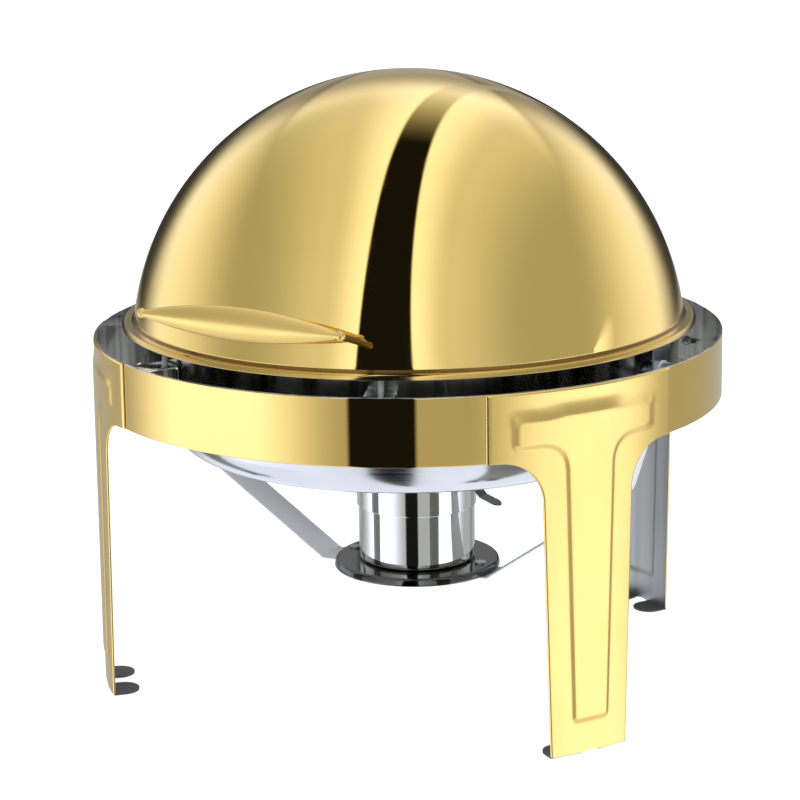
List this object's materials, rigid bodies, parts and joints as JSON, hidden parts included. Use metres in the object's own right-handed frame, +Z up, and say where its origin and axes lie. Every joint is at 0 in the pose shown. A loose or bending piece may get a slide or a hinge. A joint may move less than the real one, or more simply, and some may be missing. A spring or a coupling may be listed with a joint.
{
  "type": "chafing dish food warmer",
  "caption": "Round roll-top chafing dish: a spherical cover rolls back over a food pan, water pan and fuel burner held in a ring on T-shaped pressed legs.",
  "frame": {"origin": "table plane under the centre of the round ring", "axes": "+Z up; -Y is the side with the lid's handle; +X is the right side seen from the handle's side"},
  "size_m": [0.46, 0.4612, 0.4475],
  "materials": {
    "gold_steel": "mirror-polished, gold-coloured stainless steel",
    "polished_steel": "mirror-polished stainless steel",
    "satin_steel": "satin stainless steel",
    "plain_steel": "plain stainless steel fasteners",
    "white_nylon": "natural nylon",
    "clear_silicone": "pale translucent silicone rubber"
  },
  "bodies": {
    "frame": {"frame_ring": "gold_steel", "leg_front_right": "gold_steel", "leg_front_left": "gold_steel", "leg_rear_right": "gold_steel", "leg_rear_left": "gold_steel", "leg_studs": "plain_steel", "leg_nuts": "plain_steel", "support_ring": "polished_steel", "lug_right": "polished_steel", "lug_left": "polished_steel", "lid_stop_pads": "clear_silicone", "pivot_spacers_right": "plain_steel", "pivot_spacers_left": "plain_steel", "pivot_pin_right": "plain_steel", "pivot_pin_left": "plain_steel", "burner_strap": "polished_steel", "strap_screws": "plain_steel", "strap_nuts": "plain_steel", "burner_tray": "polished_steel", "tray_rivets": "plain_steel"},
    "lid": {"lid_dome": "gold_steel", "lid_rim": "gold_steel", "lid_ear_right": "plain_steel", "lid_ear_left": "plain_steel", "lid_bush_right": "white_nylon", "lid_bush_left": "white_nylon", "lid_handle": "gold_steel", "handle_posts": "gold_steel"},
    "water_pan": {"water_pan": "satin_steel"},
    "food_pan": {"food_pan": "satin_steel"},
    "burner": {"burner_cup": "polished_steel"},
    "burner_cover": {"burner_cover": "polished_steel", "damper_rivet": "plain_steel"},
    "damper": {"damper_plate": "polished_steel"}
  },
  "joints": [
    {"name": "lid_roll", "type": "hinge", "parent": "frame", "child": "lid", "pos_m": [0, 0, 0.244], "axis": [-1, 0, 0], "range_deg": [0, 150]},
    {"name": "water_pan_lift", "type": "slide", "parent": "frame", "child": "water_pan", "axis": [0, 0, 1], "range_m": [0, 0.008]},
    {"name": "food_pan_lift", "type": "slide", "parent": "water_pan", "child": "food_pan", "axis": [0, 0, 1], "range_m": [0, 0.012]},
    {"name": "burner_lift", "type": "slide", "parent": "frame", "child": "burner", "axis": [0, 0, 1], "range_m": [0, 0.006]},
    {"name": "burner_cover_lift", "type": "slide", "parent": "burner", "child": "burner_cover", "axis": [0, 0, 1], "range_m": [0, 0.006]},
    {"name": "damper_swing", "type": "hinge", "parent": "burner_cover", "child": "damper", "pos_m": [-0.02952, 0.00043, 0.1455], "axis": [0, 0, 1], "range_deg": [0, 60]}
  ]
}
